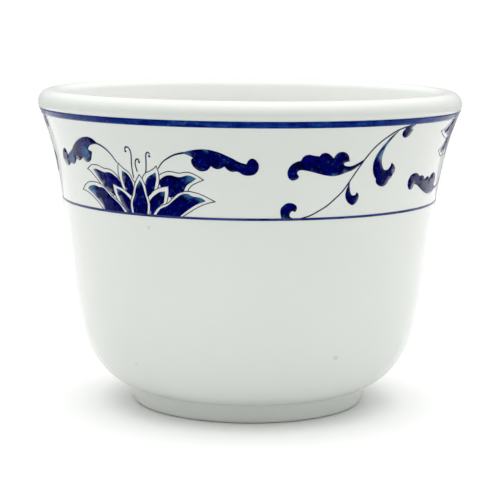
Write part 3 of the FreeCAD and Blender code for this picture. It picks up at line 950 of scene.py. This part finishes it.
@dataclass(frozen=True)
class LeafPair:
    """The two scrolled leaves that spring from the flower's inner petals."""

    pen: Pen
    stem_first: float = 0.15
    stem_last: float = 0.34

    def shapes(self) -> list[Shape]:
        """Both leaves and their stems."""
        shapes = [Shape(self.pen.ribbon(stem, self.stem_first, self.stem_last), Ink.HAIRLINE)
                  for stem in (RIGHT_STEM, LEFT_STEM)]
        shapes.append(Shape([self.pen.outline(RIGHT_LEAF)], Ink.COBALT,
                            ((-11.5, 49.0, 0.9), (-16.2, 48.3, 1.2)),
                            (-25.0, 50.0)))
        shapes.append(Shape([self.pen.outline(LEFT_LEAF)], Ink.COBALT,
                            ((-50.5, 47.3, 2.2), (-59.0, 45.6, 2.0)),
                            (-38.0, 50.0)))
        return shapes


# The vine's stem and what grows on it.
VINE_STEM = [(14, 37.5), (17.3, 38.05), (19.6, 38.75), (21.9, 39.55), (24.2, 40.7), (26.15, 41.8),
             (27.7, 43.05), (30, 45.2), (32.7, 47.6), (34.6, 49), (36.9, 50.2), (39.2, 51.1), (41.5, 51.8),
             (46.15, 52.5), (48.5, 52.85)]
VINE_LEAF = [
    [(30.1, 45.95), (28.6, 45.4), (26.8, 45.05), (25.05, 44.7), (23, 44.5), (20.9, 44.65), (18.9, 44.95),
     (16.8, 45.3), (15.05, 45.55), (13.6, 45.65), (12.85, 45.5)],
    [(12.7, 45.05), (13.15, 44.7), (13.15, 44.35), (12.4, 44.05), (11.5, 43.95), (10.65, 44.2),
     (10.1, 44.85), (10.05, 45.4), (10.5, 46.15), (11.2, 46.65), (12.4, 47.05), (13.45, 47.2)],
    [(13.9, 47.75), (14.6, 48.1), (15.65, 48.2), (16.8, 48.05), (18.4, 47.9)],
    [(19, 48.3), (20.05, 48.45), (21.2, 48.2), (22.55, 47.5)],
    [(22.85, 47.9), (23.6, 48.4), (24.8, 48.55), (25.9, 48.35), (26.8, 47.85), (27.4, 46.9)],
    [(26.2, 46.75), (25.65, 46.55)],
    [(26.1, 46.2), (27.4, 46.05), (28.9, 46.2), (32.1, 47.15)],
    [(31.3, 46.45)],
]
CURL = [
    [(8.6, 38.5), (8.7, 39.3), (9.5, 39.85), (10.6, 40.2), (12, 40.1), (13, 39.7), (13.2, 39.1),
     (12.6, 38.65)],
    [(12.1, 38.85), (11.5, 38.65), (11.2, 38.2), (11.5, 37.8), (13.4, 37.5)],
    [(9, 37.5)],
]
SMALL_DROP = [
    [(27.5, 42.25), (27.3, 41.15), (27.9, 40.25), (29.05, 39.65), (30, 39.45), (31.15, 39.9), (31.7, 40.7),
     (31.45, 41.35), (30.85, 41.6)],
    [(30.6, 41.2), (29.6, 41.1), (28.85, 41.6), (28.45, 42.5), (28.2, 43.45)],
]
LARGE_DROP = [
    [(39.6, 50.8), (38.1, 49.75), (36.5, 48.5), (35.5, 47.3), (35.15, 46.15), (35.5, 44.95), (36.2, 44.15),
     (36.9, 43.7)],
    [(37.1, 43.1), (37.8, 42.65), (38.9, 42.35), (39.9, 42.25), (41, 42.5), (41.6, 42.85), (41.9, 43.3)],
    [(42.5, 43.55), (43.2, 44.2), (43.7, 44.75), (43.65, 45.25), (42.9, 45.85), (41.9, 46.25)],
    [(41.6, 45.55), (40.8, 45.1), (39.6, 45.1), (38.65, 45.7), (38, 46.6), (37.9, 47.7), (38.5, 49.1),
     (39.8, 50.3), (41.9, 51.8)],
]
BUD = [
    [(43.8, 51.85), (43.25, 51.3), (43.7, 50.65), (45, 50.35), (46.15, 50.7), (46.9, 51.35), (47.2, 51.8)],
    [(46.4, 51.6)],
    [(46.9, 52.2), (48.5, 52.8)],
    [(46.15, 52.6), (44.1, 52.15)],
]


@dataclass(frozen=True)
class Vine:
    """A curved stem that climbs from the frieze line to the band, with its leaf, curl, drops and bud."""

    pen: Pen
    stem_first: float = 0.2
    stem_last: float = 0.26

    def shapes(self) -> list[Shape]:
        """Every shape of the vine, from the back to the front."""
        pen = self.pen
        return [
            Shape(pen.ribbon(VINE_STEM, self.stem_first, self.stem_last), Ink.HAIRLINE),
            Shape([pen.outline(VINE_LEAF)], Ink.COBALT, ((26.5, 45.1, 0.9), (23.0, 44.6, 0.8)), (32.0, 46.5)),
            Shape([pen.outline(CURL)], Ink.COBALT, ((9.6, 37.6, 0.8),), (14.0, 37.5)),
            Shape([pen.outline(SMALL_DROP)], Ink.COBALT, ((28.1, 42.6, 0.6),), (28.2, 43.5)),
            Shape([pen.outline(LARGE_DROP)], Ink.COBALT, ((37.2, 47.7, 1.6), (38.6, 49.6, 1.4)),
                  (41.0, 51.5)),
            Shape([pen.outline(BUD)], Ink.COBALT, ((46.4, 52.3, 1.0),), (48.0, 52.8)),
        ]


@dataclass(frozen=True)
class Stance:
    """How a drawn motif stands on the cup: turned round it, and turned over where it hangs from the band.

    A hanging point's height over the line is height_sum less its drawn one, and it lies spread times as far
    aside.
    """

    turn: float
    hanging: bool = False
    drawn_azimuth: float = -32.0
    line_height: float = 37.44
    height_sum: float = 16.2
    spread: float = 1.08

    def place(self, azimuth: float, height: float) -> Point:
        """A drawn point's azimuth and height on the cup."""
        if self.hanging:
            azimuth = self.drawn_azimuth - (azimuth - self.drawn_azimuth) * self.spread
            height = 2 * self.line_height + self.height_sum - height
        return azimuth + self.turn, height


@dataclass
class Frieze:
    """The band under the lip, the line below it, and three groups of motifs between them."""

    section: TurnedSection
    lathe: Lathe
    palette: Palette
    pen: Pen = field(default_factory=Pen)
    band: Point = (52.59, 53.67)
    line: Point = (37.24, 37.64)
    sides: tuple[str, ...] = ("front", "right", "back")
    hanging_side: str = "right"
    leaf_height_sum: float = 13.8
    sheet_lift: float = 0.02
    sheet_thickness: float = 0.02
    ring_lift: float = 0.015
    ring_thickness: float = 0.04
    ring_levels: int = 5
    filler_spacing: float = 1.1
    snap: float = 1e-5
    streaks_in_radian: float = 8.0

    def build(self) -> None:
        """Makes the rings and the three groups of motifs."""
        self._ring("rim_band_print", self.band, self.palette.band, "rim_band")
        self._ring("frieze_line_print", self.line, self.palette.line, "frieze_line")
        motifs = {"lotus": Flower(self.pen).shapes(), "leaves": LeafPair(self.pen).shapes(),
                  "vine": Vine(self.pen).shapes()}
        for index, side in enumerate(self.sides):
            turn = 360.0 / len(self.sides) * index
            hangs = side == self.hanging_side
            stances = {"lotus": Stance(turn, hangs), "vine": Stance(turn),
                       "leaves": Stance(turn, hangs, height_sum=self.leaf_height_sum)}
            for kind, shapes in motifs.items():
                mesh = self._sheet(f"{kind}_{side}_print", shapes, stances[kind])
                new_piece(mesh.name, mesh, [f"{kind}_{side}"])

    def _ring(self, name: str, heights: Point, finish: bpy.types.Material, node: str) -> None:
        """A ring of print all round the wall, between two heights."""
        levels = np.linspace(*heights, self.ring_levels)
        sides = [[(self.section.radius_at(level) + lift, level) for level in levels]
                 for lift in (self.ring_lift + self.ring_thickness, self.ring_lift)]
        section = np.array(sides[0] + sides[1][::-1])
        new_piece(name, self.lathe.turn(name, section, finish), [node])

    def _sheet(self, name: str, shapes: list[Shape], stance: Stance) -> bpy.types.Mesh:
        """One motif as a thin closed film on the wall.

        Args:
            name: the mesh's name.
            shapes: its shapes, from the back to the front.
            stance: how it stands on the cup.

        Returns:
            The film's mesh, with its washes and grain as attributes.
        """
        corners, triangles, owners = self._divided(shapes)
        mesh = bpy.data.meshes.new(name)
        work = bmesh.new()
        wash_layer = work.loops.layers.float.new("wash")
        grain_layer = work.loops.layers.float_vector.new("grain")
        levels = (self.sheet_lift + self.sheet_thickness, self.sheet_lift)
        rows = [[work.verts.new(self._on_wall(corner, level, stance)) for corner in corners]
                for level in levels]
        borders: dict[tuple[int, int], int] = {}
        for triangle, owner in zip(triangles, owners):
            shape = shapes[owner]
            for row, order in ((rows[0], triangle), (rows[1], triangle[::-1])):
                face = work.faces.new([row[index] for index in order])
                face.smooth = True
                face.material_index = shape.ink.value
                for loop, index in zip(face.loops, order):
                    loop[wash_layer], loop[grain_layer] = self._wash(corners[index], shape)
            for edge in zip(triangle, (*triangle[1:], triangle[0])):
                borders[edge] = shape.ink.value
        for (one, two), ink in borders.items():
            if (two, one) not in borders:
                face = work.faces.new([rows[0][two], rows[0][one], rows[1][one], rows[1][two]])
                face.material_index = ink
        loose = [vertex for vertex in work.verts if not vertex.link_faces]
        bmesh.ops.delete(work, geom=loose, context="VERTS")
        work.to_mesh(mesh)
        work.free()
        mesh.materials.append(self.palette.cobalt)
        mesh.materials.append(self.palette.hairline)
        return mesh

    def _divided(self, shapes: list[Shape]) -> tuple[list[np.ndarray], list[tuple[int, ...]], list[int]]:
        """Divides a motif into triangles.

        Args:
            shapes: the motif's shapes, from the back to the front.

        Returns:
            The corners in millimetres on the unrolled wall, the inked triangles, and each one's front shape.
        """
        points: list[Vector] = []
        loops: list[list[int]] = []
        owner_of: list[int] = []
        for owner, shape in enumerate(shapes):
            for outline in shape.outlines:
                loops.append(list(range(len(points), len(points) + len(outline))))
                points += [Vector(point) for point in outline]
                owner_of.append(owner)
        low = np.min([tuple(point) for point in points], axis=0)
        high = np.max([tuple(point) for point in points], axis=0)
        for row, height in enumerate(np.arange(low[1], high[1], self.filler_spacing)):
            start = low[0] + self.filler_spacing * (row % 2) / 2
            points += [Vector((aside, height)) for aside in np.arange(start, high[0], self.filler_spacing)]
        corners, _, faces, _, _, sources = delaunay_2d_cdt(points, [], loops, 0, self.snap, True)
        triangles, owners = [], []
        for face, source in zip(faces, sources):
            front = max((owner_of[index] for index in source), default=None)
            if front is not None and shapes[front].ink is not Ink.BARE:
                triangles.append(tuple(face))
                owners.append(front)
        return [np.array(corner) for corner in corners], triangles, owners

    def _wash(self, corner: np.ndarray, shape: Shape) -> tuple[float, Triple]:
        """How thin the wash is at a corner of a shape, and where it lies across and along the brush."""
        thin = 0.0
        for azimuth, height, reach in shape.pale:
            gap = np.hypot(*(corner - self.pen.flat((azimuth, height))))
            thin = max(thin, 1 - gap / reach)
        away = corner - self.pen.flat(shape.root)
        across = math.atan2(away[0], away[1]) * self.streaks_in_radian
        return thin, (across, float(np.hypot(*away)), 0.0)

    def _on_wall(self, corner: np.ndarray, lift: float, stance: Stance) -> Vector:
        """A corner of the unrolled wall as a point in metres, lifted off the glaze."""
        azimuth, height = stance.place(corner[0] / self.pen.degree, corner[1])
        radius = self.section.radius_at(height) + lift
        angle = math.radians(azimuth)
        return Vector((radius * math.sin(angle), -radius * math.cos(angle), height)) * MM


@dataclass
class Studio:
    """The camera, the light and the floor. The light's front is where the camera stands."""

    camera_place: Triple = (0.0, -306.3, 73.7)
    aim: Triple = (0.0, 0.0, 28.5)
    focal_pixels: float = 1689.0
    principal_pixel: Point = (248.32, 243.23)
    roll: float = 0.009
    sensor: float = 36.0
    nearest: float = 0.01
    sky: float = 0.64
    overhead: float = 3.2
    front_focus: float = 2.0
    front_shade_narrowing: float = 1.6
    front_tint: Colour = (0.95, 1.0, 0.92)
    backdrop: float = 1.0
    floor_colour: Colour = (0.85, 0.85, 0.85)
    floor_radius: float = 260.0
    floor_sides: int = 96
    floor_roughness: float = 0.6
    floor_gloss: float = 0.2

    def build(self) -> None:
        """Sets up the camera, the surroundings and the floor."""
        self._camera()
        self._surroundings()
        self._floor()
        view = bpy.context.scene.view_settings
        view.view_transform = "Standard"
        view.look = "None"

    def _camera(self) -> None:
        """Stands the camera where the photograph was taken."""
        data = bpy.data.cameras.new("photo_camera")
        data.sensor_width = self.sensor
        data.lens = self.sensor * self.focal_pixels / IMAGE_SIDE
        middle = (IMAGE_SIDE - 1) / 2
        data.shift_x = (middle - self.principal_pixel[0]) / IMAGE_SIDE
        data.shift_y = (self.principal_pixel[1] - middle) / IMAGE_SIDE
        data.clip_start = self.nearest
        camera = bpy.data.objects.new("photo_camera", data)
        place = Vector(self.camera_place) * MM
        turn = (Vector(self.aim) * MM - place).to_track_quat("-Z", "Y").to_matrix()
        turn = turn @ Matrix.Rotation(self.roll, 3, "Z")
        camera.matrix_world = Matrix.Translation(place) @ turn.to_4x4()
        bpy.context.scene.collection.objects.link(camera)
        bpy.context.scene.camera = camera

    def _surroundings(self) -> None:
        """A white tent, brightest overhead and dim low behind the camera, which itself sees an even white."""
        world = bpy.data.worlds.new("studio")
        world.use_nodes = True
        bpy.context.scene.world = world
        graph = Graph(world.node_tree)
        heading = graph.coordinate("Generated")
        across = graph.add("ShaderNodeSeparateXYZ", None, {0: heading}, "Y")
        rise = graph.add("ShaderNodeSeparateXYZ", None, {0: heading}, "Z").math("MAXIMUM", 0.0)
        front = (across * -1).math("MAXIMUM", 0.0).math("POWER", self.front_focus)
        shade = front * (1 - rise).math("POWER", self.front_shade_narrowing)
        level = self.sky * (1 - shade) * (1 + rise * rise * self.overhead)
        seen = graph.add("ShaderNodeLightPath", None, None, "Is Camera Ray")
        strength = level * (1 - seen) + seen * self.backdrop
        colour = graph.blend(front * (1 - seen), (1.0, 1.0, 1.0), self.front_tint)
        light = graph.add("ShaderNodeBackground", None, {"Color": colour, "Strength": strength})
        graph.add("ShaderNodeOutputWorld", None, {"Surface": light})

    def _floor(self) -> None:
        """A plain, pale, round floor at the foot's level."""
        mesh = bpy.data.meshes.new("floor")
        work = bmesh.new()
        bmesh.ops.create_circle(work, cap_ends=True, segments=self.floor_sides, radius=self.floor_radius * MM)
        work.to_mesh(mesh)
        work.free()
        floor = bpy.data.objects.new("floor", mesh)
        bpy.context.scene.collection.objects.link(floor)
        material, graph = new_material("pale_floor")
        shader = graph.add("ShaderNodeBsdfPrincipled", None, {
            "Base Color": (*self.floor_colour, 1.0), "Roughness": self.floor_roughness,
            "Specular IOR Level": self.floor_gloss})
        graph.add("ShaderNodeOutputMaterial", None, {"Surface": shader})
        mesh.materials.append(material)


def main() -> None:
    """Builds the cup's pieces in order, then the studio."""
    logging.basicConfig(level=logging.INFO, format="%(name)s %(message)s")
    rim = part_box("glaze_coat")[1] / MM
    section = TurnedSection(rim.x, rim.z)
    palette = Palette()
    lathe = Lathe()
    Vessel(section, lathe, palette).build()
    Frieze(section, lathe, palette).build()
    Studio().build()


if __name__ == "__main__":
    main()
